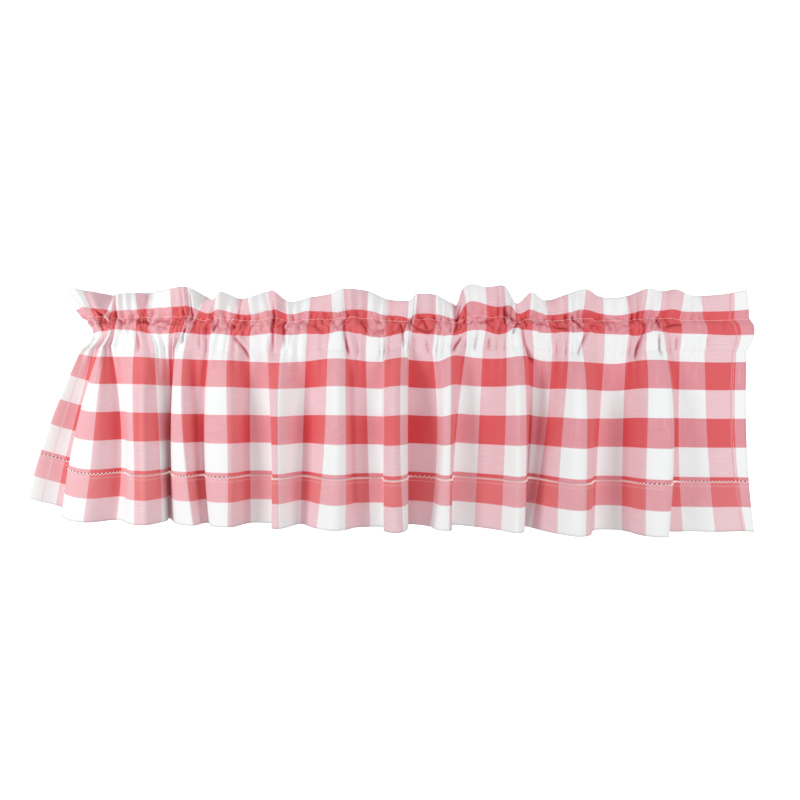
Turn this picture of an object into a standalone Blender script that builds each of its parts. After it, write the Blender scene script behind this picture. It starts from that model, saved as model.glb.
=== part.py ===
"""Window valance: one panel of checked cotton, 1.83 m by 0.41 m flat, gathered to 1.16 m on a rod.

Two rows of stitching across the folded-over top make three sections, each one closed solid here:
heading    the doubled frill that stands above the upper row of stitching
rod_pocket the tunnel between the two rows, open at both ends for a curtain rod
skirt      the single cloth that hangs from the lower row in folds, with its side and bottom hems

X runs along the rod, the front of the cloth faces -Y and Z is up. The origin is at the top edge of the
heading, halfway along. The warp lines of the cloth are told apart by "flat": how many woven checks lie
between the line and the left side edge when the panel is spread out.
"""

import bpy
import numpy as np

MM = 0.001
CHECKS_ACROSS = 38.1
CLOTH = 1.8 * MM
# Between the tunnel and each of its neighbours, up and down: over 0.4 mm is left where the folds lean most.
SEAM_GAP = 0.7 * MM

# Heights below the top edge, at the right end. The rod line climbs a little towards the left end.
STITCH_Z = -34 * MM
SEAM_Z = -85 * MM
ROD_CLIMB = 4 * MM
# The stitching rises and falls with the frill above it, by this share of the top edge's own unevenness.
STITCH_FOLLOWS = 0.4

# The skirt's length down a warp line: the left end is bunched up, so its cloth hangs shorter.
SKIRT_LENGTH_LEFT = 270 * MM
SKIRT_LENGTH_RIGHT = 286 * MM
SKIRT_ROWS = 10
MIDDLE_SHARE = 0.45

# The gathers are shallow at the lower stitching and open out soon below it: the share of a fold's
# depth that is there at the stitching, and how far down the skirt most of the rest has come.
SEAM_DEPTH = 0.14
OPENING_SHARE = 0.2
# The skirt hangs from the front of the rod, so the lower stitching lies this far in front of the rod line.
SEAM_FORWARD = 8 * MM
CORNER_RISE = 10 * MM
CORNER_WIDTH = 2.2

# The tunnel's walls bow out round the rod, and each fold of the skirt starts as a small swelling there.
POCKET_HALF_DEPTH = 14 * MM
POCKET_SWELLING = 0.07
POCKET_CORNERS = 10
POCKET_ROUNDING = 0.85
# The tunnel's left end is squeezed inwards between its two seams, over this many checks.
PINCH = 20 * MM
PINCH_REACH = 5
HEADING_ROWS = 3
# The ripples of the frill swing out this many times the table's depths at its top edge.
FRILL_SWING = 1.9
SKIRT_COLUMNS_PER_CHECK = 4
POCKET_COLUMNS_PER_CHECK = 3

# One row for each fold line of the skirt, from the left side edge to the right one.
# flat in checks; x at the lower stitching, at the middle and at the hem, in mm; out: how far the line
# stands in front of the rod line at the hem, in mm.
SKIRT_FOLDS = (
    # flat, x_seam, x_middle, x_hem, out
    (0.00, -490, -545, -592, -18),  # left side edge, flung outwards
    (1.30, -468, -504, -535, -26),
    (1.95, -458, -492, -518, 15),
    (2.80, -453, -460, -479, 26),
    (3.85, -443, -428, -436, 3),
    (4.75, -407, -400, -399, 32),
    (5.15, -391, -382, -380, 36),
    (5.80, -375, -367, -363, 11),
    (7.20, -348, -358, -363, -22),  # bottom of the deep tuck
    (8.45, -335, -336, -324, 27),
    (8.80, -327, -322, -306, 33),
    (9.30, -304, -305, -299, 11),
    (9.80, -289, -296, -290, 7),
    (10.15, -283, -288, -281, 26),
    (10.85, -257, -250, -250, 36),
    (11.85, -223, -224, -224, -2),
    (12.55, -197, -192, -192, 2),
    (13.50, -189, -182, -181, 40),
    (13.80, -175, -174, -172, 40),
    (14.85, -134, -139, -145, 0),
    (15.80, -101, -102, -115, 35),
    (16.25, -88, -87, -92, 48),
    (16.80, -73, -70, -71, 40),
    (17.15, -60, -57, -60, 24),
    (17.80, -41, -38, -34, 14),
    (18.26, -19, -16, -14, 15),
    (18.80, -11, -11, -11, 42),
    (19.30, 2, 1, 3, 54),
    (19.80, 15, 13, 18, 47),
    (20.35, 24, 24, 25, 20),
    (21.05, 31, 29, 28, -14),
    (21.80, 64, 72, 61, 6),
    (22.25, 76, 80, 70, 28),
    (22.85, 94, 92, 90, 30),
    (24.00, 123, 108, 98, -10),
    (24.80, 144, 139, 132, -3),
    (25.80, 181, 177, 171, 22),
    (26.35, 195, 194, 192, 40),
    (26.75, 205, 207, 204, 30),
    (27.60, 220, 221, 209, -10),
    (28.80, 254, 244, 223, 3),
    (29.80, 278, 261, 254, 41),
    (30.25, 288, 277, 275, 54),
    (30.80, 299, 296, 294, 50),
    (31.10, 310, 305, 304, 40),
    (31.75, 334, 325, 319, 8),
    (32.80, 370, 366, 366, 4),
    (33.80, 400, 390, 388, 43),
    (34.45, 420, 422, 418, 48),
    (35.30, 443, 447, 438, 8),
    (35.80, 456, 453, 462, 6),
    (36.80, 494, 497, 512, 8),
    (37.80, 545, 542, 562, 6),
    (38.10, 561, 560, 575, 6),  # right side edge
)

# One row for each ripple of the frill, from left to right.
# flat in checks; x at the upper stitching and at the top edge; height of the edge above the origin; out.
FRILL_RIPPLES = (
    # flat, x_stitch, x_top, height, out
    (0.00, -494, -522, 4, 0),
    (0.35, -486, -508, 16, 9),
    (0.80, -475, -487, 11, 6),
    (1.80, -457, -454, 8, -12),
    (2.80, -448, -441, 0, 3),
    (3.80, -438, -430, 4, 10),
    (4.80, -409, -413, 8, 2),
    (5.80, -383, -396, 13, -6),
    (6.80, -353, -355, 16, 5),
    (7.80, -327, -326, 16, 8),
    (8.80, -311, -300, 5, -6),
    (9.40, -295, -284, -5, 3),
    (10.00, -279, -270, 7, 11),
    (10.80, -253, -246, 1, -3),
    (11.80, -224, -226, -1, 7),
    (12.80, -190, -198, 9, 2),
    (13.40, -181, -182, 7, 11),
    (13.80, -167, -168, -4, 4),
    (14.80, -132, -131, 4, -6),
    (15.80, -95, -95, 5, 7),
    (16.80, -73, -75, 15, 12),
    (17.80, -39, -38, 11, 2),
    (18.80, -8, -8, 1, -7),
    (19.80, 24, 27, -4, 2),
    (20.80, 36, 40, 5, 9),
    (21.80, 71, 70, 4, 4),
    (22.80, 99, 99, -6, -8),
    (23.80, 121, 110, 9, 6),
    (24.30, 134, 126, 22, 9),
    (24.80, 152, 146, 17, 11),
    (25.80, 182, 178, 21, 5),
    (26.30, 190, 188, 13, -4),
    (26.80, 198, 198, 1, 2),
    (27.80, 219, 220, 7, 7),
    (28.80, 248, 249, -1, -7),
    (29.80, 281, 281, 7, 0),
    (30.80, 304, 303, 15, 10),
    (31.80, 337, 335, 1, 2),
    (32.80, 377, 377, 5, -5),
    (33.80, 401, 403, 13, 7),
    (34.80, 424, 433, 12, -2),
    (35.60, 452, 454, 15, 6),
    (35.80, 459, 460, 7, 8),
    (36.80, 496, 494, 5, -2),
    (37.80, 546, 543, 9, 3),
    (38.10, 570, 563, 12, 3),
)


def clear_scene():
    for obj in list(bpy.data.objects):
        bpy.data.objects.remove(obj)


def new_collection(name):
    collection = bpy.data.collections.new(name)
    bpy.context.scene.collection.children.link(collection)
    return collection


def cloth_material(name, color):
    material = bpy.data.materials.new(name)
    material.use_nodes = True
    shader = material.node_tree.nodes["Principled BSDF"]
    shader.inputs["Base Color"].default_value = (*color, 1.0)
    shader.inputs["Roughness"].default_value = 0.9
    shader.inputs["Metallic"].default_value = 0.0
    material.diffuse_color = (*color, 1.0)
    return material


def smooth_rows(table, flats):
    """The table's columns at each of the flat positions: a smooth curve through all of its rows."""
    rows = np.array(table, float)
    at, values = rows[:, 0], rows[:, 1:]
    slopes = np.gradient(values, at, axis=0)
    row = np.clip(np.searchsorted(at, flats, side="right") - 1, 0, len(at) - 2)
    width = (at[row + 1] - at[row])[:, None]
    t = (flats - at[row])[:, None] / width
    return (
        (2 * t**3 - 3 * t**2 + 1) * values[row]
        + (t**3 - 2 * t**2 + t) * width * slopes[row]
        + (3 * t**2 - 2 * t**3) * values[row + 1]
        + (t**3 - t**2) * width * slopes[row + 1]
    )


def flat_positions(table, columns_per_check):
    """Evenly spaced flat positions, moved onto the nearest row of the table where one is close."""
    flats = np.linspace(0, CHECKS_ACROSS, round(CHECKS_ACROSS * columns_per_check) + 1)
    spacing = flats[1]
    for row in table:
        nearest = np.abs(flats - row[0]).argmin()
        if abs(flats[nearest] - row[0]) < spacing / 2:
            flats[nearest] = row[0]
    return flats


def leftness(flats):
    """1 at the left side edge, falling evenly to 0 at the right one."""
    return 1 - flats / CHECKS_ACROSS


def through_levels(seam, middle, hem, share):
    """The parabola that passes seam at share 0, middle at MIDDLE_SHARE and hem at share 1."""
    m = MIDDLE_SHARE
    bend = ((middle - seam) - (hem - seam) * m) / (m * (m - 1))
    return seam + (hem - seam) * share + bend * share * (share - 1)


def fold_depth(share):
    """The part of a fold's depth at the hem that it has this far down the skirt."""
    opened = (1 - np.exp(-share / OPENING_SHARE)) / (1 - np.exp(-1 / OPENING_SHARE))
    return SEAM_DEPTH + (1 - SEAM_DEPTH) * opened


def seam_line(flats):
    """(x, y, z) of the lower row of stitching, in metres."""
    x_seam, _, _, out = smooth_rows(SKIRT_FOLDS, flats).T * MM
    return x_seam, -SEAM_FORWARD - out * SEAM_DEPTH, SEAM_Z + ROD_CLIMB * leftness(flats)


def corner_rise(flats, share):
    """How far the flung left corner rides up: most at the side edge and none CORNER_WIDTH checks in, eased
    in below the stitching by 1 - exp."""
    return CORNER_RISE * np.clip(1 - flats / CORNER_WIDTH, 0, 1) ** 1.5 * (1 - np.exp(-share / 0.06))


def skirt_rows(flats):
    """Rows of points from the lower stitching to the hem. Seen from the front each warp line keeps its
    length, so one that leans sideways hangs shorter."""
    x_seam, x_middle, x_hem, out = smooth_rows(SKIRT_FOLDS, flats).T * MM
    z = seam_line(flats)[2] - SEAM_GAP - CLOTH / 2
    length = SKIRT_LENGTH_RIGHT + (SKIRT_LENGTH_LEFT - SKIRT_LENGTH_RIGHT) * leftness(flats)
    step = length / (SKIRT_ROWS - 1)
    rows = []
    for share in np.linspace(0, 1, SKIRT_ROWS):
        x = through_levels(x_seam, x_middle, x_hem, share)
        y = -SEAM_FORWARD * (1 - share) - out * fold_depth(share)
        if rows:
            z = z - np.sqrt(step**2 - (x - rows[-1][:, 0]) ** 2)
        rows.append(np.stack([x, y, z + corner_rise(flats, share)], axis=1))
    return rows


def stitch_line(flats):
    """(x, y, z) of the upper row of stitching, in metres."""
    x_stitch, _, height, _ = smooth_rows(FRILL_RIPPLES, flats).T * MM
    z = STITCH_Z + ROD_CLIMB * leftness(flats) + STITCH_FOLLOWS * (height - height.mean())
    return x_stitch, np.zeros_like(x_stitch), z


def heading_rows(flats):
    """Rows of points from the upper stitching to the frill's top edge."""
    _, x_top, height, out = smooth_rows(FRILL_RIPPLES, flats).T * MM
    x, y, z = stitch_line(flats)
    low = np.stack([x, y, z + SEAM_GAP + CLOTH / 2], axis=1)
    high = np.stack([x_top, -out * FRILL_SWING, height], axis=1)
    return [low + (high - low) * share for share in np.linspace(0, 1, HEADING_ROWS)]


def pocket_rows(flats):
    """Closed rings of points round the tunnel: up the front from the lower stitching, down the back."""
    x_low, y_low, z_low = seam_line(flats)
    x_high, y_high, z_high = stitch_line(flats)
    out = smooth_rows(SKIRT_FOLDS, flats)[:, -1] * MM
    half_depth = POCKET_HALF_DEPTH + POCKET_SWELLING * (out - out.mean())
    pinch = PINCH * np.clip(1 - flats / PINCH_REACH, 0, 1)
    rows = []
    for corner in range(POCKET_CORNERS):
        turn = 2 * np.pi * corner / POCKET_CORNERS - np.pi / 2
        share = (1 + np.sin(turn)) / 2
        belly = np.sign(np.cos(turn)) * abs(np.cos(turn)) ** POCKET_ROUNDING
        x = x_low + (x_high - x_low) * share + pinch * np.cos(turn) ** 2
        y = y_low * (1 - share) ** 2 + y_high * share**2 - half_depth * belly
        rows.append(np.stack([x, y, z_low + (z_high - z_low) * share], axis=1))
    return rows


def cloth_solid(name, rows, ring, collection, material):
    """A mesh over rows of points, closed round when ring is set, thickened to the cloth's own depth."""
    count, width = len(rows), len(rows[0])
    faces = []
    for row in range(count if ring else count - 1):
        above = (row + 1) % count
        for column in range(width - 1):
            faces.append(
                (
                    row * width + column,
                    row * width + column + 1,
                    above * width + column + 1,
                    above * width + column,
                )
            )
    mesh = bpy.data.meshes.new(name)
    mesh.from_pydata(np.concatenate(rows).tolist(), [], faces)
    mesh.materials.append(material)
    mesh.shade_smooth()
    obj = bpy.data.objects.new(name, mesh)
    thickness = obj.modifiers.new("cloth thickness", "SOLIDIFY")
    thickness.thickness = CLOTH
    thickness.offset = 0
    collection.objects.link(obj)
    return obj


def build():
    clear_scene()
    collection = new_collection("window_valance")
    red_check = cloth_material("red_check_cotton", (0.82, 0.33, 0.33))
    pale_check = cloth_material("pale_check_cotton", (0.9, 0.66, 0.68))
    skirt_flats = flat_positions(SKIRT_FOLDS, SKIRT_COLUMNS_PER_CHECK)
    pocket_flats = flat_positions(SKIRT_FOLDS, POCKET_COLUMNS_PER_CHECK)
    cloth_solid("skirt", skirt_rows(skirt_flats), False, collection, red_check)
    cloth_solid("rod_pocket", pocket_rows(pocket_flats), True, collection, pale_check)
    cloth_solid("heading", heading_rows(pocket_flats), False, collection, red_check)


build()
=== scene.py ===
"""Looks of the window valance: one panel of red and white checked cotton, gathered on a rod.

The panel is one length of cloth. Its top is folded over to the back and sewn down twice, which makes a
doubled frill, a tunnel for the rod and, below them, the single skirt. Each of the three is a fine sheet
that stands for the frame's node of that part and hangs in the same place.

Two flat coordinates follow the cloth everywhere, both in woven checks of 48 mm:
across  from the left side edge (0) to the right one (38.1)
down    from the frill's top fold (0) to the hem (8.47); on the back layer it goes below zero
Lengths are in metres, X runs along the rod, the front of the cloth faces -Y and Z is up.
"""

import bpy
import numpy as np
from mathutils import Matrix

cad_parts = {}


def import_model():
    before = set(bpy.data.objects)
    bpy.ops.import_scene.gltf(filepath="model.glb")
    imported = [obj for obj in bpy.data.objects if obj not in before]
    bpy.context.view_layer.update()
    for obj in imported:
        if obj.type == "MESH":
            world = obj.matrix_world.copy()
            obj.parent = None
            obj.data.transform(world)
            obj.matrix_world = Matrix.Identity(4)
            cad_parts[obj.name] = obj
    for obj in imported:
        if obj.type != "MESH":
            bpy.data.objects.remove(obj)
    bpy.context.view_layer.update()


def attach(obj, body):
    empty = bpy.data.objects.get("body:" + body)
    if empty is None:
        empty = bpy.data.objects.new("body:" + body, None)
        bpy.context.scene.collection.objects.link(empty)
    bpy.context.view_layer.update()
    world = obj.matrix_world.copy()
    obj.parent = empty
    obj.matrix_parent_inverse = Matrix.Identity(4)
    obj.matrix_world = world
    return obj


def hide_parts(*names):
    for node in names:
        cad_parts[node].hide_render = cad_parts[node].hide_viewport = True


MM = 0.001
CHECK = 48 * MM
CHECKS_ACROSS = 38.1

# Where the stitching and the edges lie on the flat cloth, in checks down from the top fold.
TOP_STITCH = 0.94
LOW_STITCH = 2.26
HEM_EDGE = 8.47
BACK_EDGE = -2.26
FIRST_COLUMN = 0.8
FIRST_ROW = 0.65

# Thickness of the single cloth, whose hems are twice as thick, and the heights of both rows of stitching.
CLOTH = 0.5 * MM
STITCH_Z = -34 * MM
SEAM_Z = -85 * MM
# How much higher the left end hangs, and how far the upper stitching follows the frill's edge up and down.
ROD_CLIMB = 4 * MM
STITCH_FOLLOWS = 0.4
# The skirt's length at its two ends, and how far down it the middle column of SKIRT_FOLDS lies.
SKIRT_LENGTH_LEFT = 271.5 * MM
SKIRT_LENGTH_RIGHT = 287.5 * MM
MIDDLE_SHARE = 0.45
# The share of a fold's depth that it has at the stitching, and how soon below it the fold opens.
SEAM_DEPTH = 0.14
OPENING_SHARE = 0.2
SEAM_FORWARD = 8 * MM
# The flung left corner: how far it rides up, and over how many checks.
CORNER_RISE = 10 * MM
CORNER_WIDTH = 2.2
# The tunnel's front drops from the rod, this far in front of its line; its back bows out behind it.
POCKET_FRONT = 11 * MM
POCKET_HALF_DEPTH = 13 * MM
POCKET_SWELLING = 0.07
# Room that both walls leave for the rod: its middle height, half its height, and its front and back.
ROD_Z = -53 * MM
ROD_HALF_HEIGHT = 10 * MM
ROD_FRONT = -8.4 * MM
ROD_BACK = 7.4 * MM
ROD_EASING = 1.5
# How softly the cloth comes to rest there, and the spread of a check below which it has less room to shift.
ROD_SOFTNESS = 1.5 * MM
ROOM_TO_SHIFT = 0.6 * CHECK
# The tunnel is drawn in at its left end, over this many checks, and bulges at its right one.
PINCH = 20 * MM
PINCH_REACH = 5
RIGHT_BULGE = 7 * MM
BULGE_REACH = 2.5
# How much further out the frill's edge swings than its table says, and the gap between its two layers.
FRILL_SWING = 1.9
FRILL_GAP = 1.6 * MM

# Hems are turned twice and so are thicker: down from HEM_LINE, and within SIDE_HEM of both side edges.
HEM_LINE = 6.84
SIDE_HEM = 0.375
# The hemstitch: where it runs, half its height in checks, its pitch and where its first leg starts.
LADDER_LINE = 6.81
LADDER_HALF_HEIGHT = 0.042
LADDER_PITCH = 5.6 * MM
FIRST_LEG = 0.02
# In checks: how far stitches stay from an edge or a seam, and how far the hem's own row lies below the
# hemstitch and the upper row below its seam.
INSET = 0.02
HEM_ROW_BELOW = 0.14
TOP_ROW_BELOW = 0.045
# Radius of each thread.
THREAD = 0.22 * MM
FINE_THREAD = 0.15 * MM
TOP_THREAD = 0.3 * MM
LADDER_THREAD = 0.5 * MM

# Points of the grids: columns to a check, and rows of each sheet.
COLUMNS = 14
FINE_COLUMNS = 20
SKIRT_ROWS = 84
POCKET_FRONT_ROWS = 33
POCKET_BACK_ROWS = 13
FRILL_FRONT_ROWS = 19
FRILL_BACK_ROWS = 13
# How far the skirt and the frill run on past their stitching, as a share of their length.
SKIRT_OVERLAP = 0.008
FRILL_OVERLAP = 0.04

# One row for each fold line of the skirt, from the left side edge to the right one.
# flat in checks; x at the lower stitching, at the middle and at the hem, in mm; out: how far the line
# stands in front of the rod line at the hem, in mm.
SKIRT_FOLDS = (
    # flat, x_seam, x_middle, x_hem, out
    (0.00, -490, -545, -592, -18),  # left side edge, flung outwards
    (1.30, -468, -504, -535, -26),
    (1.95, -458, -492, -518, 15),
    (2.80, -453, -460, -479, 26),
    (3.85, -443, -428, -436, 3),
    (4.75, -407, -400, -399, 32),
    (5.15, -391, -382, -380, 36),
    (5.80, -375, -367, -363, 11),
    (7.20, -348, -358, -363, -22),  # bottom of the deep tuck
    (8.45, -335, -336, -324, 27),
    (8.80, -327, -322, -306, 33),
    (9.30, -304, -305, -299, 11),
    (9.80, -289, -296, -290, 7),
    (10.15, -283, -288, -281, 26),
    (10.85, -257, -250, -250, 36),
    (11.85, -223, -224, -224, -2),
    (12.55, -197, -192, -192, 2),
    (13.50, -189, -182, -181, 40),
    (13.80, -175, -174, -172, 40),
    (14.85, -134, -139, -145, 0),
    (15.80, -101, -102, -115, 35),
    (16.25, -88, -87, -92, 48),
    (16.80, -73, -70, -71, 40),
    (17.15, -60, -57, -60, 24),
    (17.80, -41, -38, -34, 14),
    (18.26, -19, -16, -14, 15),
    (18.80, -11, -11, -11, 42),
    (19.30, 2, 1, 3, 54),
    (19.80, 15, 13, 18, 47),
    (20.35, 24, 24, 25, 20),
    (21.05, 31, 29, 28, -14),
    (21.80, 64, 72, 61, 6),
    (22.25, 76, 80, 70, 28),
    (22.85, 94, 92, 90, 30),
    (24.00, 123, 108, 98, -10),
    (24.80, 144, 139, 132, -3),
    (25.80, 181, 177, 171, 22),
    (26.35, 195, 194, 192, 40),
    (26.75, 205, 207, 204, 30),
    (27.60, 220, 221, 209, -10),
    (28.80, 254, 244, 223, 3),
    (29.80, 278, 261, 254, 41),
    (30.25, 288, 277, 275, 54),
    (30.80, 299, 296, 294, 50),
    (31.10, 310, 305, 304, 40),
    (31.75, 334, 325, 319, 8),
    (32.80, 370, 366, 366, 4),
    (33.80, 400, 390, 388, 43),
    (34.45, 420, 422, 418, 48),
    (35.30, 443, 447, 438, 8),
    (35.80, 456, 453, 462, 6),
    (36.80, 494, 497, 512, 8),
    (37.80, 545, 542, 562, 6),
    (38.10, 561, 560, 575, 6),  # right side edge
)

# One row for each ripple of the frill, from left to right.
# flat in checks; x at the upper stitching and at the top edge; height of the edge above the origin; out.
FRILL_RIPPLES = (
    # flat, x_stitch, x_top, height, out
    (0.00, -494, -522, 4, 0),
    (0.35, -486, -508, 13, 9),
    (0.80, -475, -487, 11, 6),
    (1.80, -457, -454, 8, -12),
    (2.80, -448, -441, 0, 3),
    (3.80, -438, -430, 4, 10),
    (4.80, -404, -407, 8, 2),
    (5.80, -388, -393, 12, -9),
    (6.80, -350, -350, 14, 5),
    (7.80, -323, -321, 15, 8),
    (8.80, -311, -300, 5, -6),
    (9.40, -295, -284, -3, 3),
    (10.00, -279, -270, 7, 11),
    (10.80, -253, -246, 1, -3),
    (11.80, -224, -226, -1, 7),
    (12.80, -190, -198, 10, 2),
    (13.40, -181, -182, 7, 11),
    (13.80, -167, -168, -4, 4),
    (14.80, -132, -131, 4, -6),
    (15.80, -95, -95, 5, 7),
    (16.80, -73, -75, 11, 12),
    (17.80, -39, -38, 11, 2),
    (18.80, -8, -8, 1, -7),
    (19.80, 24, 27, -4, 2),
    (20.80, 36, 40, 4, 9),
    (21.80, 71, 70, 4, 4),
    (22.80, 99, 99, -6, -8),
    (23.35, 109, 106, -6, -9),
    (23.80, 121, 111, 12, 8),
    (24.30, 134, 126, 20, 9),
    (24.80, 152, 146, 15, 10),
    (25.80, 182, 178, 18, 5),
    (26.30, 190, 188, 13, -4),
    (26.80, 198, 198, -6, -3),
    (27.80, 219, 220, 7, 7),
    (28.80, 248, 249, -1, -7),
    (29.80, 281, 281, 7, 0),
    (30.80, 304, 303, 11, 10),
    (31.80, 337, 335, 1, 2),
    (32.80, 377, 377, 5, -5),
    (33.80, 401, 403, 13, 7),
    (34.80, 424, 433, 12, -2),
    (35.60, 452, 454, 11, 6),
    (35.80, 459, 460, 7, 8),
    (36.80, 496, 494, 5, -2),
    (37.80, 546, 543, 8, 3),
    (38.10, 570, 563, 12, 3),
)

# How far the woven rows ride above (+) or below (-) their even height, in mm: halfway up the frill, halfway
# up the tunnel and at the lower stitching.
ROW_LIFTS = (
    # flat, frill, tunnel, seam
    (0.0, 0, 0, 0),
    (4.2, 0, 4, 4),
    (6.0, 0, -3, 2),
    (8.0, 1, 0, 1),
    (10.0, 0, 0, -1),
    (11.8, -3, 0, -3),
    (12.4, -2, 2, -4),
    (13.6, 0, 3, -6),
    (14.6, 2, 2, -3),
    (15.6, -1, 0, 1),
    (16.4, -5, 3, 2),
    (17.3, -2, 0, 0),
    (18.4, -4, -4, -3),
    (19.3, -3, 0, 2),
    (20.2, -8, 5, 5),
    (21.0, -5, 2, 2),
    (22.2, -5, 0, -1),
    (22.9, -5, -3, 8),
    (23.8, 9, 0, 8),
    (24.7, 6, 2, 5),
    (25.4, 0, -4, 4),
    (26.6, 7, 7, 8),
    (27.3, 3, 5, 9),
    (28.3, 1, 4, 1),
    (29.4, -3, 5, -1),
    (30.3, -2, 4, -2),
    (31.3, 0, 5, -3),
    (32.4, -4, 4, -4),
    (33.4, -3, -2, 1),
    (34.3, -2, 4, 2),
    (35.3, -1, 2, 1),
    (36.3, 1, 3, 0),
    (37.5, 1, 1, -1),
    (38.1, 0, 0, 0),
)

# Creases in the front of the cloth, each a soft trough with a raised lip on its right side.
# Both ends (x, z), how far its middle bows to the right, its width and its depth, all in mm.
CREASES = (
    # x, z, x, z, bow, width, depth
    # left knot
    (-476, -14, -457, -36, 0, 3, 5.1),
    (-464, -33, -454, -58, -1, 3, 5.1),
    (-448, -30, -442, -58, 0, 2.5, 4.25),
    (-435, -33, -427, -53, 1, 2.5, 4.25),
    (-427, -53, -404, -34, -4, 3, 3.4),
    (-401, -39, -382, -42, 2, 2.5, 5.1),
    (-382, -42, -364, -34, 1, 2.5, 4.25),
    (-429, -52, -420, -67, 0, 3, 3.4),
    (-407, -48, -399, -89, 3, 4, 4.25),
    # left third
    (-318, 12, -320, -42, 0, 2.5, 5.1),
    (-325, -45, -331, -75, -1, 2.5, 6.8),
    (-312, -37, -312, -61, 0, 2, 2.55),
    (-304, -39, -303, -93, 0, 3, 3.4),
    (-293, -39, -296, -96, 0, 3, 3.4),
    (-284, -56, -274, -36, 1, 3, 5.1),
    (-259, -33, -241, -59, 0, 3, 3.4),
    (-241, -33, -257, -59, 0, 3, 3.4),
    (-255, -56, -224, -101, 3, 3.5, 5.1),
    (-187, -3, -187, -91, 0, 3, 5.1),
    (-170, -33, -170, -85, 1, 3.5, 5.95),
    (-139, -44, -113, -52, 3, 3, 3.4),
    (-151, -36, -145, -58, 0, 3, 2.55),
    # middle
    (-75, -34, -66, -93, -3, 3.5, 6.8),
    (-52, -33, -34, -58, -1, 3, 5.1),
    (-34, -58, -6, -50, -3, 3, 4.25),
    (13, -36, 18, -83, 2, 3, 5.1),
    (30, -36, 29, -58, 0, 3, 3.4),
    (34, -47, 70, -52, -5, 3, 5.1),
    (54, -66, 59, -89, 0, 3, 3.4),
    (111, -11, 98, -55, 1, 3, 5.95),
    (95, -88, 112, -59, 0, 3, 5.95),
    (136, -48, 133, -88, 0, 3, 4.25),
    (155, -61, 155, -86, 0, 3, 3.4),
    (176, -15, 202, -45, -2, 3, 5.1),
    (204, -39, 191, -63, 0, 3, 7.65),
    (206, -52, 225, -105, -3, 3, 5.1),
    (231, -33, 237, -55, 0, 3, 2.55),
    # right third
    (248, -44, 285, -55, -4, 3, 5.1),
    (278, -23, 275, -47, 0, 2.5, 3.4),
    (285, -26, 305, -59, -2, 3, 5.95),
    (310, -56, 291, -94, 0, 3.5, 5.1),
    (337, -37, 368, -47, 1, 4, 2.55),
    (398, -50, 382, -101, 0, 3.5, 5.95),
    (423, -28, 423, -56, 0, 2.5, 5.95),
    (427, -53, 463, -47, -4, 3.5, 5.1),
    (423, -56, 423, -97, 0, 3.5, 5.1),
    (452, -63, 449, -85, 0, 3, 3.4),
    (498, -61, 501, -83, 0, 3, 2.55),
    (528, -36, 524, -58, 0, 3, 2.04),
    # long ones in the skirt
    (-391, -102, -388, -364, 0, 6, 2),
    (-314, -75, -301, -364, 0, 6, 3),
    (-63, -83, -56, -364, 0, 6, 3),
    (243, -112, 221, -370, 2, 6, 3),
)

# Small gathers along both rows of stitching, as long on the flat cloth as this.
GATHER_PITCH = 26 * MM
GATHER_FULLNESS = 0.85
# Puckers where the cloth is bunched over the rod: their size and depth, and how far they shift the cloth.
PUCKER = 18 * MM
PUCKER_DEPTH = 12 * MM
PUCKER_SHIFT = 5 * MM
# They are strongest at this share of the tunnel's height and fade over this much of it.
PUCKERED_AT = 0.78
PUCKERED_OVER = 0.24
# The right end is smoother from here on.
CALM_FROM = 36
# A crease this deep is fully in shade.
CREASE_SHADE = 4.5 * MM


def placed(name, data):
    """A new object in the scene, at the origin, that holds this data."""
    made = bpy.data.objects.new(name, data)
    bpy.context.scene.collection.objects.link(made)
    return made


# ---- shape of the cloth -----------------------------------------------------------------------------


def smooth_rows(table, flats):
    """The table's columns at each of the flat positions: a cubic Hermite curve through all of its rows."""
    rows = np.array(table, float)
    at, values = rows[:, 0], rows[:, 1:]
    slopes = np.gradient(values, at, axis=0)
    row = np.clip(np.searchsorted(at, flats, side="right") - 1, 0, len(at) - 2)
    width = (at[row + 1] - at[row])[:, None]
    t = (flats - at[row])[:, None] / width
    return (
        (2 * t**3 - 3 * t**2 + 1) * values[row]
        + (t**3 - 2 * t**2 + t) * width * slopes[row]
        + (3 * t**2 - 2 * t**3) * values[row + 1]
        + (t**3 - t**2) * width * slopes[row + 1]
    )


def leftness(across):
    """1 at the left side edge, falling evenly to 0 at the right one."""
    return 1 - across / CHECKS_ACROSS


def through_levels(seam, middle, hem, share):
    """The parabola that passes seam at share 0, middle at MIDDLE_SHARE and hem at share 1."""
    m = MIDDLE_SHARE
    bend = ((middle - seam) - (hem - seam) * m) / (m * (m - 1))
    return seam + (hem - seam) * share + bend * share * (share - 1)


def fold_depth(share):
    """The part of a fold's depth at the hem that it has this far down the skirt: 1 - exp, from SEAM_DEPTH."""
    opened = (1 - np.exp(-share / OPENING_SHARE)) / (1 - np.exp(-1 / OPENING_SHARE))
    return SEAM_DEPTH + (1 - SEAM_DEPTH) * opened


def lattice_noise(u, v, seed):
    """Soft noise from 0 to 1: random numbers on a 64 by 64 lattice, eased from point to point."""
    lattice = np.random.default_rng(seed).random((64, 64))
    column, row = np.floor(u).astype(int), np.floor(v).astype(int)
    s, t = u - column, v - row
    s, t = s * s * (3 - 2 * s), t * t * (3 - 2 * t)
    left = lattice[row % 64, column % 64] * (1 - t) + lattice[(row + 1) % 64, column % 64] * t
    right = lattice[row % 64, (column + 1) % 64] * (1 - t) + lattice[(row + 1) % 64, (column + 1) % 64] * t
    return left * (1 - s) + right * s


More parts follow.
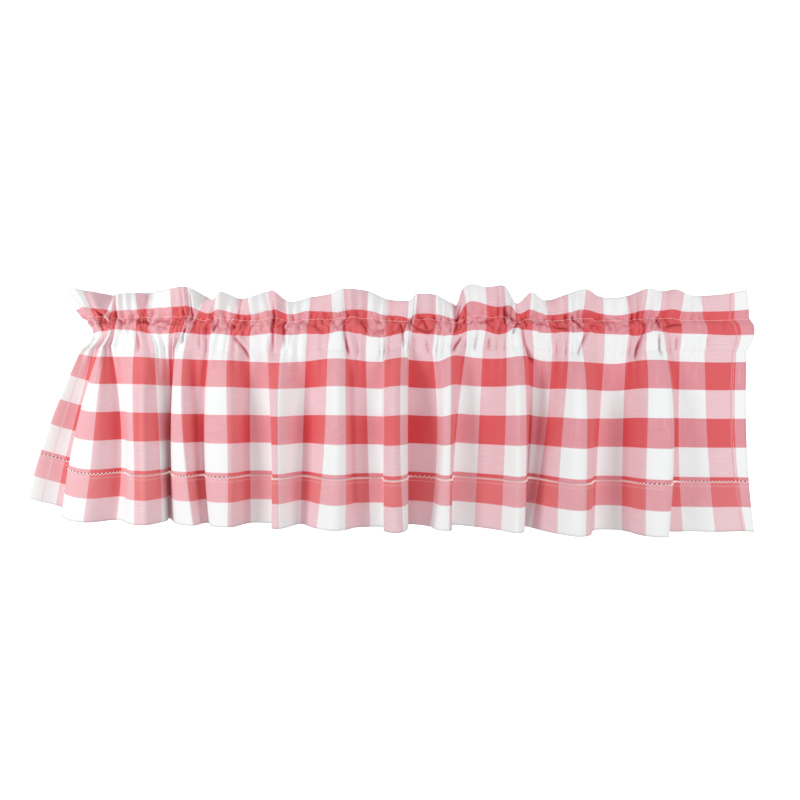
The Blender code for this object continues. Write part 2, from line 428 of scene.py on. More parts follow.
def gathers(across, x):
    """Small gathers where the cloth is squeezed sideways along a row of stitching: a sine wave, unevenly
    spaced by a sum of sines, as deep as a zigzag of the flat cloth's length, pitch / 4 * sqrt(1 - squeeze^2)."""
    squeeze = np.gradient(x, across) / CHECK
    window = np.hanning(max(5, round(0.9 * len(across) / CHECKS_ACROSS)) + 2)
    padded = np.pad(squeeze, len(window) // 2, mode="edge")
    squeeze = np.convolve(padded, window / window.sum(), mode="valid")[: len(across)]
    squeeze = np.clip(squeeze, 0.3, 0.98)
    phase = 2 * np.pi * across * CHECK / GATHER_PITCH
    phase = phase + 2.0 * np.sin(1.7 * across + 0.4) + 1.3 * np.sin(3.9 * across + 1.9)
    uneven = 1 + 0.5 * np.sin(2.6 * across + 0.8) * np.sin(0.9 * across)
    depth = GATHER_PITCH / 4 * np.sqrt(1 - squeeze**2)
    return GATHER_FULLNESS * uneven * depth * np.sin(phase)


def creases(x, z):
    """How far the creases push the cloth forward at (x, z). t runs from 0 to 1 along a crease and d is the
    distance from it over its width: (0.6 exp(-((d - 1.6) / 1.3)^2) - exp(-d^2)) * (1 - (2t - 1)^4)."""
    pushed = np.zeros_like(x)
    for x_start, z_start, x_end, z_end, bow, width, depth in np.array(CREASES) * MM:
        run = np.array([x_end - x_start, z_end - z_start])
        length = np.hypot(*run)
        if run[1] < 0:
            side = np.array([-run[1], run[0]]) / length
        else:
            side = np.array([run[1], -run[0]]) / length
        t = ((x - x_start) * run[0] + (z - z_start) * run[1]) / length**2
        inside = np.clip(1 - (2 * np.clip(t, -0.2, 1.2) - 1) ** 4, 0, 1)
        d = ((x - x_start) * side[0] + (z - z_start) * side[1] - bow * 4 * t * (1 - t)) / width
        d = np.clip(d, -9, 9)
        pushed += depth * inside * (0.6 * np.exp(-(((d - 1.6) / 1.3) ** 2)) - np.exp(-(d**2)))
    return pushed


def shade_of(pushed):
    """From 0 to 1: how deep in a crease the cloth lies, where the light hardly reaches."""
    return np.clip(-pushed / CREASE_SHADE, 0, 1) ** 2


def puckers(across, z):
    """Pushes (sideways, forward, up) where the cloth is bunched over the rod, and the shade in its valleys.
    Forward: round puffs with sharp valleys, |2 noise - 1|, on coordinates bent by a coarser noise."""
    u, v = across * CHECK / PUCKER, z / (0.8 * PUCKER) + 20
    bend = 3.0 * lattice_noise(u / 2.3, v / 2.3, 5)
    large = abs(2 * lattice_noise(u + bend, v - bend, 7) - 1)
    puffs = large + 0.4 * abs(2 * lattice_noise(2 * u - bend, 2 * v, 8) - 1)
    sideways, up = lattice_noise(1.5 * u, 1.5 * v, 9) - 0.5, lattice_noise(1.5 * u, 1.5 * v, 10) - 0.5
    # Painted shade along the floors of the valleys, carried into the cloth's colour.
    valley_shade = 0.75 * np.exp(-((large / 0.1) ** 2))
    calmer = np.clip((CALM_FROM - across) / 1.5, 0.2, 1)
    return np.array([PUCKER_SHIFT * sideways, PUCKER_DEPTH * (puffs - 0.5), PUCKER_SHIFT * up, valley_shade]) * calmer


def pucker_share(share):
    """How much of the puckers is there at this share of the tunnel's height: most a little below its top."""
    return np.exp(-(((share - PUCKERED_AT) / PUCKERED_OVER) ** 2))


def row_lifts(across):
    """The three columns of ROW_LIFTS, in metres."""
    return smooth_rows(ROW_LIFTS, across).T * MM


def seam_line(across):
    """(x, y, z) of the lower row of stitching."""
    x_seam, _, _, out = smooth_rows(SKIRT_FOLDS, across).T * MM
    z = SEAM_Z + ROD_CLIMB * leftness(across) + row_lifts(across)[2]
    return x_seam, -SEAM_FORWARD - out * SEAM_DEPTH, z


def stitch_line(across):
    """(x, y, z) of the upper row of stitching."""
    x_stitch, _, height, _ = smooth_rows(FRILL_RIPPLES, across).T * MM
    z = STITCH_Z + ROD_CLIMB * leftness(across) + STITCH_FOLLOWS * (height - height.mean())
    return x_stitch, np.zeros_like(x_stitch), z


def corner_rise(across, share):
    """How far the flung left corner rides up: most at the side edge and none CORNER_WIDTH checks in, eased
    in below the stitching by 1 - exp."""
    return CORNER_RISE * np.clip(1 - across / CORNER_WIDTH, 0, 1) ** 1.5 * (1 - np.exp(-max(share, 0) / 0.06))


def skirt_surface(across, down):
    """Rows of points from the lower stitching to the hem. A warp line passes its three x by a parabola,
    stands out by its fold's depth and keeps its length: each step falls by sqrt(step^2 - dx^2)."""
    x_seam, x_middle, x_hem, out = smooth_rows(SKIRT_FOLDS, across).T * MM
    length = SKIRT_LENGTH_RIGHT + (SKIRT_LENGTH_LEFT - SKIRT_LENGTH_RIGHT) * leftness(across)
    flat_share = (down - LOW_STITCH) / (HEM_EDGE - LOW_STITCH)
    shares = flat_share - 0.06 * flat_share * (1 - flat_share)
    small = gathers(across, x_seam)
    lift = row_lifts(across)[2]
    z = seam_line(across)[2] - lift
    rows = []
    z = z + length * -shares[0]
    for share in shares:
        x = through_levels(x_seam, x_middle, x_hem, share)
        tucked_in = 1.5 * CLOTH * np.clip(1 - share / 0.02, 0, 1)
        y = tucked_in - SEAM_FORWARD * (1 - share) - out * fold_depth(share) - 0.5 * small * np.exp(-share / 0.09)
        if rows:
            step = length * (share - last_share)
            z = z - np.sqrt(np.maximum(step**2 - (x - last_x) ** 2, 0.3 * step**2))
        last_share, last_x = share, x
        z_lifted = z + lift * (1 - share) ** 2 + corner_rise(across, share)
        pushed = creases(x, z_lifted)
        rows.append(np.stack([x, y - pushed, z_lifted, shade_of(pushed)], axis=1))
    return np.array(rows)


def past_rod(z):
    """How far the limits at the rod give way above and below it: ROD_EASING times the distance."""
    return ROD_EASING * np.maximum(abs(z - ROD_Z) - ROD_HALF_HEIGHT, 0)


def resting(y, limit):
    """y held before the limit, bending off softly: the deeper of two folds stays the deeper."""
    return y - ROD_SOFTNESS * np.logaddexp(0, (y - limit) / ROD_SOFTNESS)


def pocket_surface(across, turns):
    """Rows of points round the tunnel. turn goes from -pi/2 at the lower stitching, up the front to pi/2
    at the upper one and down the back to 3 pi/2. Height follows sin. The front stands POCKET_FRONT before
    the rod line and closes to it by 1 - share^4; the back bows out by cos. Both rest on the rod at most."""
    x_low, y_low, z_low = seam_line(across)
    x_high, y_high, z_high = stitch_line(across)
    out = smooth_rows(SKIRT_FOLDS, across)[:, -1] * MM
    half_depth = POCKET_HALF_DEPTH + POCKET_SWELLING * (out - out.mean())
    pinch = PINCH * np.clip(1 - across / PINCH_REACH, 0, 1)
    bulge = RIGHT_BULGE * np.clip(1 - (CHECKS_ACROSS - across) / BULGE_REACH, 0, 1)
    low, high = gathers(across, x_low), gathers(across, x_high)
    lift = row_lifts(across)[1]
    rows = []
    for turn in turns:
        share = (1 + np.sin(turn)) / 2
        x = x_low + (x_high - x_low) * share + (pinch + bulge) * np.cos(turn) ** 2
        z = z_low + (z_high - z_low) * share
        small = low * (1 - share) + high * share
        sideways, forward, up, valley_shade = puckers(across, z) * pucker_share(share)
        sideways = sideways * np.clip(np.gradient(x, across) / ROOM_TO_SHIFT, 0, 1)
        creased = creases(x, z)
        pushed = creased + forward
        shade = np.maximum(shade_of(creased), valley_shade)
        if turn <= np.pi / 2:
            y = (y_low * (1 - share) - POCKET_FRONT * share) * (1 - share**4)
            y = y - small * (0.5 - 0.8 * share * (1 - share)) - pushed - 4 * CLOTH * share * (1 - share)
            x = x + sideways
            z = z + up + lift * 4 * share * (1 - share)
            y = resting(y, ROD_FRONT + past_rod(z))
        else:
            near = np.exp(2.5 * np.cos(turn))
            y = y_low * (1 - share) ** 2 - half_depth * np.cos(turn) + CLOTH * min(1, -8 * np.cos(turn))
            y = y - small * (0.5 - 0.9 * np.cos(turn)) - pushed * near
            x = x + sideways * near
            z = z + up * near
            y = -resting(-y, past_rod(z) - ROD_BACK)
            shade = shade * near
        rows.append(np.stack([x, y, z, shade], axis=1))
    return np.array(rows)


def frill_surface(across, steps):
    """Rows of points over the doubled frill. step goes from -1 at the front's stitching to 0 at the top
    fold and 1 at the back's stitching. The two layers lie a little apart and close in the fold."""
    _, x_top, height, out = smooth_rows(FRILL_RIPPLES, across).T * MM
    x_low, y_low, z_low = stitch_line(across)
    small = gathers(across, x_low)
    lift = row_lifts(across)[0]
    rows = []
    for step in steps:
        share = 1 - abs(step)
        tucked_in = (1.2 if step < 0 else 0.3) * CLOTH * np.clip(-share / 0.03, 0, 1)
        x = x_low + (x_top - x_low) * share
        z = z_low + (height - z_low) * share
        fading = pucker_share(1) * np.exp(-((share / 0.35) ** 2))
        sideways, forward, up, valley_shade = puckers(across, z) * fading
        creased = creases(x, z)
        pushed = creased + forward
        shade = np.maximum(shade_of(creased), valley_shade) * (step <= 0)
        x, z = x + sideways, z + up + lift * 4 * share * (1 - share)
        side = np.sign(step) * (CLOTH + FRILL_GAP * np.clip(3 * share, 0, 1) * np.sqrt(1 - share**8)) + tucked_in
        if step > 0:
            side = side + np.maximum(4 * abs(small) * share * (1 - share), 0)
        y = y_low - FRILL_SWING * out * share - small * (0.28 + 0.22 * np.exp(-share / 0.3)) - pushed
        rows.append(np.stack([x, y + side, z, shade], axis=1))
    return np.array(rows)


class Sheet:
    """A sheet of cloth over a grid: rows of points, each with the shade in its crease, the flat coordinates
    of its columns and rows, and the direction that its front faces, the cross product of its steps."""

    def __init__(self, rows, across, down):
        points = rows[:, :, :3]
        self.points = points
        self.shade = rows[:, :, 3]
        self.across = across
        self.down = down
        facing = np.cross(np.gradient(points, axis=0), np.gradient(points, axis=1))
        self.facing = facing / np.maximum(np.linalg.norm(facing, axis=2, keepdims=True), 1e-12)

    def read(self, grid, across, down):
        """The grid's values at flat places, bilinear between its points."""
        column = np.interp(across, self.across, np.arange(len(self.across)))
        row = np.interp(down, self.down, np.arange(len(self.down)))
        c = np.clip(column.astype(int), 0, len(self.across) - 2)
        r = np.clip(row.astype(int), 0, len(self.down) - 2)
        s, t = (column - c)[..., None], (row - r)[..., None]
        above = grid[r, c] * (1 - s) + grid[r, c + 1] * s
        below = grid[r + 1, c] * (1 - s) + grid[r + 1, c + 1] * s
        return above * (1 - t) + below * t

    def shade_in_hollows(self):
        """From 0 on a crest to 1 at the bottom of a fold or crease: how far the cloth lies behind its own
        average over a few checks to both sides, and behind a much closer average for the creases. The
        cloth's colour uses it to paint shade into the hollows."""
        found = 0.3
        for checks, depth, most in ((4, 34 * MM, 1.0), (0.5, 4 * MM, 0.6)):
            window = np.hanning(2 * round(checks * len(self.across) / CHECKS_ACROSS / 2) + 3)
            padded = np.pad(self.points[:, :, 1], ((0, 0), (len(window) // 2,) * 2), mode="edge")
            average = np.array([np.convolve(row, window / window.sum(), mode="valid") for row in padded])
            found = found + np.clip((self.points[:, :, 1] - average) / depth, -most, most)
        to_side = np.minimum(self.across, CHECKS_ACROSS - self.across)
        return np.clip(found * np.clip(to_side / 2.5, 0, 1), 0, 1)

    def mesh(self, name):
        """A grid mesh with its flat coordinates as its UV map, and with its hems in a vertex group."""
        rows, columns = self.points.shape[:2]
        corner = np.arange(rows * columns).reshape(rows, columns)
        faces = np.stack([corner[:-1, :-1], corner[1:, :-1], corner[1:, 1:], corner[:-1, 1:]], axis=-1)
        mesh = bpy.data.meshes.new(name)
        mesh.from_pydata(self.points.reshape(-1, 3).tolist(), [], faces.reshape(-1, 4).tolist())
        u = np.broadcast_to(self.across / CHECKS_ACROSS, (rows, columns))
        v = np.broadcast_to((HEM_EDGE - self.down) / (HEM_EDGE - BACK_EDGE), (columns, rows)).T
        loop_points = np.empty(len(mesh.loops), np.int32)
        mesh.loops.foreach_get("vertex_index", loop_points)
        layer = mesh.uv_layers.new(name="flat_cloth")
        layer.data.foreach_set("uv", np.stack([u, v], axis=-1).reshape(-1, 2)[loop_points].ravel())
        mesh.shade_smooth()
        piece = placed(name, mesh)
        # Two shades painted into the cloth's colour: in the hollows of folds, and at the bottom of creases and
        # pucker valleys.
        mesh.attributes.new("hollow_shade", "FLOAT", "POINT").data.foreach_set("value", self.shade_in_hollows().ravel())
        mesh.attributes.new("shade_in_creases", "FLOAT", "POINT").data.foreach_set("value", self.shade.ravel())
        edge_distance = np.minimum(self.across, CHECKS_ACROSS - self.across)
        turned = (edge_distance[None, :] < SIDE_HEM) | (self.down[:, None] > HEM_LINE)
        hems = piece.vertex_groups.new(name="hems")
        hems.add(corner[turned].tolist(), 1.0, "REPLACE")
        return piece


def thread(name, sheet, starts, ends, radius, height):
    """Stitches over a sheet, from flat places to flat places. Each is a tube whose axis follows the cloth
    at this height and arches by sin(pi t); its radius shrinks towards both ends by sqrt(sin)."""
    t = np.linspace(0, 1, 4)
    across = starts[:, :1] + (ends - starts)[:, :1] * t
    down = starts[:, 1:] + (ends - starts)[:, 1:] * t
    facing = sheet.read(sheet.facing, across, down)
    axis = sheet.read(sheet.points, across, down)
    axis = axis + facing * (height + 0.6 * radius * np.sin(np.pi * t))[None, :, None]
    along = np.gradient(axis, axis=1)
    along = along / np.linalg.norm(along, axis=2, keepdims=True)
    side = np.cross(along, facing)
    turns = np.linspace(0, 2 * np.pi, 5, endpoint=False)[None, None, :, None]
    thick = radius * np.sqrt(np.sin(np.pi * (0.08 + 0.84 * t)))[None, :, None, None]
    points = axis[:, :, None] + thick * (np.cos(turns) * side[:, :, None] + np.sin(turns) * facing[:, :, None])
    count, rings, sides = points.shape[:3]
    corner = np.arange(count * rings * sides).reshape(count, rings, sides)
    ahead = np.roll(corner, -1, axis=2)
    walls = np.stack([corner[:, :-1], corner[:, 1:], ahead[:, 1:], ahead[:, :-1]], axis=-1).reshape(-1, 4)
    caps = np.concatenate([corner[:, 0], corner[:, -1, ::-1]])
    mesh = bpy.data.meshes.new(name)
    mesh.from_pydata(points.reshape(-1, 3).tolist(), [], walls.tolist() + caps.tolist())
    mesh.shade_smooth()
    return placed(name, mesh)


# ---- materials ---------------------------------------------------------------------------------------


class Field:
    """A number that changes over the cloth: one socket of a finish, with arithmetic as Math nodes."""

    def __init__(self, finish, socket):
        self.finish = finish
        self.socket = socket

    def math(self, operation, *values):
        return self.finish.node("ShaderNodeMath", {"operation": operation}, dict(enumerate(values)))

    def __add__(self, other):
        return self.math("ADD", self, other)

    def __sub__(self, other):
        return self.math("SUBTRACT", self, other)

    def __rsub__(self, other):
        return self.math("SUBTRACT", other, self)

    def __mul__(self, other):
        return self.math("MULTIPLY", self, other)

    __radd__ = __add__
    __rmul__ = __mul__

    def sine(self):
        return self.math("SINE", self)

    def within(self):
        """The same number held between 0 and 1."""
        return self.finish.node("ShaderNodeClamp", {}, {0: self})


class Finish:
    """A material with its shader; node() is the one way to add to it."""

    def __init__(self, name, **shader_values):
        self.material = bpy.data.materials.new(name)
        self.material.use_nodes = True
        self.tree = self.material.node_tree
        self.shader = self.tree.nodes["Principled BSDF"]
        for socket, value in shader_values.items():
            self.shader.inputs[socket.replace("_", " ")].default_value = value

    def node(self, kind, settings, inputs, output=0):
        made = self.tree.nodes.new(kind)
        for key, value in settings.items():
            setattr(made, key, value)
        for key, value in inputs.items():
            if isinstance(value, Field):
                self.tree.links.new(value.socket, made.inputs[key])
            else:
                made.inputs[key].default_value = value
        return Field(self, made.outputs[output])

    def mix(self, amount, low, high):
        """The colour low where amount is 0, turning to the colour high where it is 1."""
        return self.node("ShaderNodeMix", {"data_type": "RGBA"}, {0: amount, 6: low, 7: high}, output=2)

    def feed(self, socket, field):
        self.tree.links.new(field.socket, self.shader.inputs[socket])


def color(red, green, blue):
    """Linear colour of three display values from 0 to 255."""
    shares = np.array([red, green, blue]) / 255
    linear = np.where(shares <= 0.04045, shares / 12.92, ((shares + 0.055) / 1.055) ** 2.4)
    return (*linear.tolist(), 1.0)


def checked_cotton():
    """Plain-woven cotton in even checks. Warp and weft are each red or white in turn, so a check is red
    where both are red and pink where one is. Thicker threads run through it as slubs. Shade is painted
    into its colour: in hollows and creases, deeper towards the right, and in the hemstitch's holes."""
    cloth = Finish("checked_cotton", Roughness=0.85, Sheen_Weight=0.15, Sheen_Roughness=0.5)
    place = cloth.node("ShaderNodeUVMap", {"uv_map": "flat_cloth"}, {})
    across = cloth.node("ShaderNodeSeparateXYZ", {}, {0: place}, output=0) * CHECKS_ACROSS
    down = HEM_EDGE - cloth.node("ShaderNodeSeparateXYZ", {}, {0: place}, output=1) * (HEM_EDGE - BACK_EDGE)

    def streaks(along_scale, crossing_scale, first, second, low, high):
        """Noise drawn out along one set of threads, 0 below low and 1 above high."""
        spot = cloth.node("ShaderNodeCombineXYZ", {}, {0: first * along_scale, 1: second * crossing_scale})
        settings = {"noise_dimensions": "2D"}
        grain = cloth.node("ShaderNodeTexNoise", settings, {"Vector": spot, "Scale": 1.0, "Detail": 1.0})
        return cloth.node("ShaderNodeMapRange", {"interpolation_type": "SMOOTHSTEP"}, {0: grain, 1: low, 2: high})

    edge = streaks(60, 60, across, down, 0.2, 0.8) * 0.012 - 0.006
    warp = ((across - FIRST_COLUMN + edge) * np.pi).sine() * 15 + 0.5
    weft = ((down - FIRST_ROW + edge) * np.pi).sine() * 15 + 0.5
    warp, weft = warp.within(), weft.within()
    slub = streaks(1.3, 46, across, down, 0.6, 0.76)
    fine = streaks(3.1, 95, across, down, 0.35, 0.75)
    warp_slub = streaks(1.1, 50, down, across, 0.62, 0.76)
    tone = streaks(0.8, 0.8, across, down, 0.2, 0.8)

    def step(place, edge, softness):
        """0 before the edge and 1 past it."""
        limits = {0: place, 1: edge - softness, 2: edge + softness}
        return cloth.node("ShaderNodeMapRange", {"interpolation_type": "SMOOTHSTEP"}, limits)

    def band(place, low, high, softness):
        """1 between two edges and 0 elsewhere."""
        return step(place, low, softness) * (1 - step(place, high, softness))

    hem = step(down, HEM_LINE, 0.01)
    side_hem = 1 - band(across, SIDE_HEM, CHECKS_ACROSS - SIDE_HEM, 0.01)
    drawn_threads = band(down, LADDER_LINE - 0.14, LADDER_LINE + 0.03, 0.03)
    hem_seam = band(down, LADDER_LINE + 0.13, LADDER_LINE + 0.16, 0.012)
    left_seam = band(across, SIDE_HEM + 0.01, SIDE_HEM + 0.05, 0.012)
    # Along the inner edge of the right side hem: a thin line of painted shade beside the hem's step.
    right_hem_edge_shade = band(across, CHECKS_ACROSS - SIDE_HEM - 0.05, CHECKS_ACROSS - SIDE_HEM - 0.01, 0.012)
    # The hemstitch's holes are not cut in the cloth: they are dark maroon spots of painted shade, standing for
    # the shaded cloth seen through them.
    hole_wave = ((across - FIRST_LEG) * (np.pi * CHECK / LADDER_PITCH)).sine()
    uneven_holes = streaks(9, 1, across, down, -0.25, 0.3)
    hole_row = band(down, LADDER_LINE - 0.04, LADDER_LINE + 0.03, 0.012)
    hole_shade = (hole_wave * hole_wave * 2.4 - 0.9).within() * hole_row * uneven_holes
    hollow_shade = cloth.node("ShaderNodeAttribute", {"attribute_name": "hollow_shade"}, {}, output=2)
    shade_in_creases = cloth.node("ShaderNodeAttribute", {"attribute_name": "shade_in_creases"}, {}, output=2)

    # Painted light: red and weft pink are paler on the left and deeper on the right, as the light falls off; the
    # dye is one colour all across.
    painted_light_falloff = across * (1 / CHECKS_ACROSS)
    # Painted shade in the hollows of folds: white greys a little, red and pinks turn deeper and redder.
    white = cloth.mix(hollow_shade, color(246, 248, 248), color(244, 245, 246))
    red = cloth.mix(painted_light_falloff, color(236, 118, 120), color(224, 92, 96))
    red = cloth.mix(tone * 0.3, red, color(216, 84, 90))
    red = cloth.mix(slub * 0.15, red, color(240, 145, 146))
    red = cloth.mix(hollow_shade, red, color(222, 70, 76))
    warp_pink = cloth.mix((slub * 0.5 + fine * 0.18).within(), color(236, 196, 203), color(246, 226, 230))
    weft_pink = cloth.mix(painted_light_falloff, color(239, 180, 186), color(227, 150, 160))
    weft_pink = cloth.mix((slub * 0.35 + fine * 0.15).within(), weft_pink, color(220, 130, 140))
    weft_pink = cloth.mix(warp_slub * 0.45, weft_pink, color(243, 200, 206))
    # Painted shade in the hollows for both pinks as well.
    weft_pink = cloth.mix(hollow_shade * 0.5, weft_pink, color(238, 122, 132))
    warp_pink = cloth.mix(hollow_shade * 0.3, warp_pink, color(240, 180, 188))
    # Painted shade at the bottom of creases and pucker valleys: every colour darkens there.
    white = cloth.mix(shade_in_creases * 0.8, white, color(206, 182, 187))
    red = cloth.mix(shade_in_creases, red, color(150, 18, 28))
    warp_pink = cloth.mix(shade_in_creases, warp_pink, color(208, 112, 126))
    weft_pink = cloth.mix(shade_in_creases, weft_pink, color(186, 50, 64))
    plain_row = cloth.mix(warp, white, warp_pink)
    red_row = cloth.mix(warp, weft_pink, red)
    dyed = cloth.mix(weft, plain_row, red_row)
    dyed = cloth.mix(hem * 0.08, dyed, color(252, 240, 240))
    dyed = cloth.mix(drawn_threads * 0.15, dyed, color(214, 84, 90))
    dyed = cloth.mix(hem_seam * 0.25, dyed, color(247, 205, 210))
    dyed = cloth.mix(left_seam * 0.6, dyed, color(250, 222, 226))
    # Painted shade: the thin darker line along the right side hem.
    dyed = cloth.mix(right_hem_edge_shade * 0.5, dyed, color(220, 150, 158))
    # Painted shade in the hemstitch's holes.
    cloth.feed("Base Color", cloth.mix(hole_shade, dyed, color(138, 26, 38)))

    thread_relief = (across * (80 * np.pi)).sine() * (down * (80 * np.pi)).sine()
    height = thread_relief * 0.3 + slub * 0.8 + warp_slub * 0.5 + fine * 0.3 + (hem + side_hem) * 1.5
    bump = {"Height": height, "Strength": 0.35, "Distance": 0.3 * MM}
    cloth.feed("Normal", cloth.node("ShaderNodeBump", {}, bump))
    return cloth.material


def glowing_sewing_cotton():
    """Pale sewing thread, twisted from plies: fine slanted bands of tone along each stitch. It has a
    faint painted glow so that it reads pale.
    """
    cotton = Finish("glowing_sewing_cotton", Roughness=0.6, Emission_Color=color(255, 236, 234), Emission_Strength=0.2)
    place = cotton.node("ShaderNodeTexCoord", {}, {}, output=3)
    settings = {"wave_type": "BANDS", "bands_direction": "DIAGONAL"}
    twist = cotton.node("ShaderNodeTexWave", settings, {"Vector": place, "Scale": 900.0}, output=1)
    cotton.feed("Base Color", cotton.mix(twist, color(250, 238, 236), color(255, 252, 250)))
    bump = {"Height": twist, "Strength": 0.3, "Distance": 0.1 * MM}
    cotton.feed("Normal", cotton.node("ShaderNodeBump", {}, bump))
    return cotton.material


def flat_white(name):
    """A stage surface that shows as plain white."""
    sheet = Finish(name, Base_Color=(1, 1, 1, 1), Emission_Color=(1, 1, 1, 1), Emission_Strength=1.0)
    return sheet.material


# ---- pieces ------------------------------------------------------------------------------------------


def dress(piece, material, node):
    """Gives a sheet its thickness and material, hangs it on the root body and hides the frame's node that it
    stands for.
    """
    piece.data.materials.append(material)
    thickness = piece.modifiers.new("thickness", "SOLIDIFY")
    thickness.thickness = 2 * CLOTH
    thickness.offset = 0
    thickness.vertex_group = "hems"
    thickness.thickness_vertex_group = 0.5
    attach(piece, "root")
    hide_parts(node)
    return piece


def sew(name, sheet, starts, ends, cotton, radius=THREAD):
    """A row of stitches that lies on a sheet, partly sunk in its face."""
    piece = thread(name, sheet, starts, ends, radius, 0.5 * CLOTH + 0.4 * radius)
    piece.data.materials.append(cotton)
    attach(piece, "root")
    return piece


def running_stitches(line_start, line_end, pitch=3.2 * MM, share=0.72):
    """Starts and ends of stitches along a straight line on the flat cloth, each a share of its pitch long."""
    line_start, line_end = np.array(line_start), np.array(line_end)
    count = round(np.linalg.norm(line_end - line_start) * CHECK / pitch)
    first = (np.arange(count) + 0.5 - share / 2)[:, None] / count
    last = (np.arange(count) + 0.5 + share / 2)[:, None] / count
    return line_start + (line_end - line_start) * first, line_start + (line_end - line_start) * last


def ladder_stitches():
    """Starts and ends of the hemstitch: one zigzag of legs, which fall and rise in turn."""
    count = round(CHECKS_ACROSS * CHECK / LADDER_PITCH)
    at = np.arange(count) * LADDER_PITCH / CHECK + FIRST_LEG
    half = 0.5 * LADDER_PITCH / CHECK
    top = np.full(count, LADDER_LINE - LADDER_HALF_HEIGHT)
    bottom = np.full(count, LADDER_LINE + LADDER_HALF_HEIGHT)
    falling = np.stack([at, top], axis=1), np.stack([at + half, bottom], axis=1)
    rising = np.stack([at + half, bottom], axis=1), np.stack([at + 2 * half, top], axis=1)
    return np.concatenate([falling[0], rising[0]]), np.concatenate([falling[1], rising[1]])


def stitches_across(down):
    """Running stitches from side to side, this far down the flat cloth."""
    return running_stitches((INSET, down), (CHECKS_ACROSS - INSET, down))


def stitches_down(across):
    """Running stitches from the lower stitching to the hem's edge, at this place across."""
    return running_stitches((across, LOW_STITCH + INSET), (across, HEM_EDGE - INSET))


def columns_of(per_check):
    """Evenly spaced places across the cloth, this many to a check."""
    return np.linspace(0, CHECKS_ACROSS, 1 + round(CHECKS_ACROSS * per_check))


def make_skirt(cotton, thread_cotton):
    """The single cloth below the tunnel, its rows closer near the stitching, with all of its sewing."""
    across = columns_of(COLUMNS)
    shares = np.concatenate([[-SKIRT_OVERLAP], np.linspace(0, 1, SKIRT_ROWS) ** 1.15])
    down = LOW_STITCH + (HEM_EDGE - LOW_STITCH) * shares
    skirt = Sheet(skirt_surface(across, down), across, down)
    seam_row = stitches_across(LOW_STITCH + INSET)
    hem_row = stitches_across(LADDER_LINE + HEM_ROW_BELOW)
    left_row = stitches_down(SIDE_HEM - INSET)
    right_row = stitches_down(CHECKS_ACROSS - SIDE_HEM + INSET)
    sewing = [
        sew("lower_stitching", skirt, *seam_row, thread_cotton, FINE_THREAD),
        sew("left_hem_stitches", skirt, *left_row, thread_cotton),
        sew("right_hem_stitches", skirt, *right_row, thread_cotton),
        sew("hem_stitches", skirt, *hem_row, thread_cotton, FINE_THREAD),
        sew("hemstitch_ladder", skirt, *ladder_stitches(), thread_cotton, LADDER_THREAD),
    ]
    dress(skirt.mesh("skirt_cloth"), cotton, "skirt")


def make_pocket(cotton, thread_cotton):
    """The tunnel, front and back, with the upper stitching. Its rows lie on the flat cloth as far apart as
    they are on the surface, on average."""
    across = columns_of(FINE_COLUMNS)
    front_rows = POCKET_FRONT_ROWS
    front_turns, back_turns = np.linspace(-0.5, 0.5, front_rows), np.linspace(0.5, 1.5, POCKET_BACK_ROWS)
    points = pocket_surface(across, np.concatenate([front_turns, back_turns[1:]]) * np.pi)
    lengths = np.linalg.norm(np.diff(points[:, :, :3], axis=0), axis=2).mean(axis=1)
    walked = np.concatenate([[0], np.cumsum(lengths)])
    to_top = walked[front_rows - 1]
    front_down = LOW_STITCH - (LOW_STITCH - TOP_STITCH) * walked[:front_rows] / to_top
    back_share = (walked[front_rows - 1 :] - to_top) / (walked[-1] - to_top)
    back_down = -TOP_STITCH + (BACK_EDGE + TOP_STITCH) * back_share
    # The upper stitching holds front and back together, so its row of points is in both.
    points = np.concatenate([points[:front_rows], points[front_rows - 1 :]])[::-1]
    pocket = Sheet(points, across, np.concatenate([front_down, back_down])[::-1])
    top_row = stitches_across(TOP_STITCH + TOP_ROW_BELOW)
    sewing = [sew("upper_stitching", pocket, *top_row, thread_cotton, TOP_THREAD)]
    dress(pocket.mesh("pocket_cloth"), cotton, "rod_pocket")


def make_frill(cotton):
    """The doubled frill, its rows closer near the top fold."""
    across = columns_of(FINE_COLUMNS)
    front = -np.linspace(1, 0, FRILL_FRONT_ROWS) ** 1.2
    back = np.linspace(0, 1, FRILL_BACK_ROWS)[1:] ** 1.2
    steps = np.concatenate([[-1 - FRILL_OVERLAP], front, back, [1 + FRILL_OVERLAP]])
    frill = Sheet(frill_surface(across, steps)[::-1], across, -steps[::-1] * TOP_STITCH)
    dress(frill.mesh("frill_cloth"), cotton, "heading")


def make_cloth():
    """The three sheets with their sewing, from the skirt up."""
    cotton, thread_cotton = checked_cotton(), glowing_sewing_cotton()
    make_skirt(cotton, thread_cotton)
    make_pocket(cotton, thread_cotton)
    make_frill(cotton)


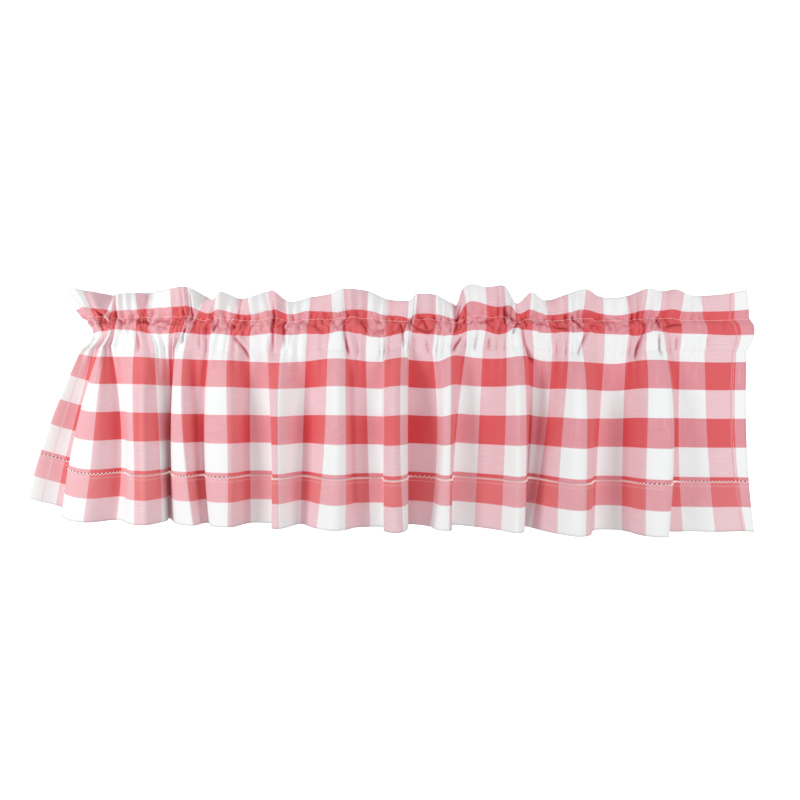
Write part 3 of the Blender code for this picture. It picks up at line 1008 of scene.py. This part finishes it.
def make_stage():
    """A white floor that curves up into a white wall, both seen by the camera alone."""
    turn = np.linspace(0, np.pi / 2, 12)
    depth = np.concatenate([[-4.0], 1.2 + np.sin(turn), [2.2]])
    height = np.concatenate([[-1.7], -0.7 - np.cos(turn), [3.5]])
    points = np.stack([np.stack([np.full_like(depth, x), depth, height], axis=1) for x in (-6.0, 6.0)])
    faces = [(i, i + 1, i + 1 + len(depth), i + len(depth)) for i in range(len(depth) - 1)]
    mesh = bpy.data.meshes.new("floor_and_wall")
    mesh.from_pydata(points.reshape(-1, 3).tolist(), [], faces)
    mesh.materials.append(flat_white("stage_white"))
    mesh.shade_smooth()
    stage = placed("floor_and_wall", mesh)
    for rays in ("diffuse", "glossy", "transmission", "volume_scatter", "shadow"):
        setattr(stage, "visible_" + rays, False)


def soft_light(name, place, aim, size, power):
    """A rectangular lamp at a place, turned towards its aim."""
    light = bpy.data.lights.new(name, "AREA")
    light.shape = "RECTANGLE"
    light.size, light.size_y = size
    light.energy = power
    lamp = placed(name, light)
    lamp.location = place
    x, y, z = np.array(aim) - np.array(place)
    lamp.rotation_euler = (np.arctan2(np.hypot(x, y), -z), 0, -np.arctan2(x, y))


def make_studio():
    """Two lamps at the sides, the left one stronger, one in front and one behind, in an even pale world."""
    soft_light("left_softbox", (-1.35, -0.95, -0.02), (-0.35, 0, -0.19), (0.5, 1.1), 11.5)
    soft_light("right_softbox", (1.35, -0.95, -0.02), (0.35, 0, -0.19), (0.5, 1.1), 7.4)
    soft_light("front_softbox", (0, -1.5, -0.1), (0, 0, -0.19), (1.2, 0.8), 5)
    soft_light("back_softbox", (0, 1.15, 0.1), (0, 0, -0.19), (1.2, 0.8), 6)
    world = bpy.data.worlds.new("studio_air")
    world.use_nodes = True
    background = world.node_tree.nodes["Background"]
    background.inputs["Color"].default_value = (1, 1, 1, 1)
    background.inputs["Strength"].default_value = 0.42
    bpy.context.scene.world = world
    bpy.context.scene.view_settings.view_transform = "Standard"


def make_camera():
    """Straight in front of the cloth, 0.95 m from the rod line."""
    lens = bpy.data.cameras.new("front_view")
    lens.sensor_width = 36
    lens.lens = 26.77
    camera = placed("front_view", lens)
    camera.location = (0.013, -0.950, -0.1621)
    camera.rotation_euler = (np.pi / 2, 0, 0)
    bpy.context.scene.camera = camera


def main():
    """Dresses the frame with the cloth, and sets up the stage, the lamps and the camera."""
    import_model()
    make_cloth()
    make_stage()
    make_studio()
    make_camera()


main()
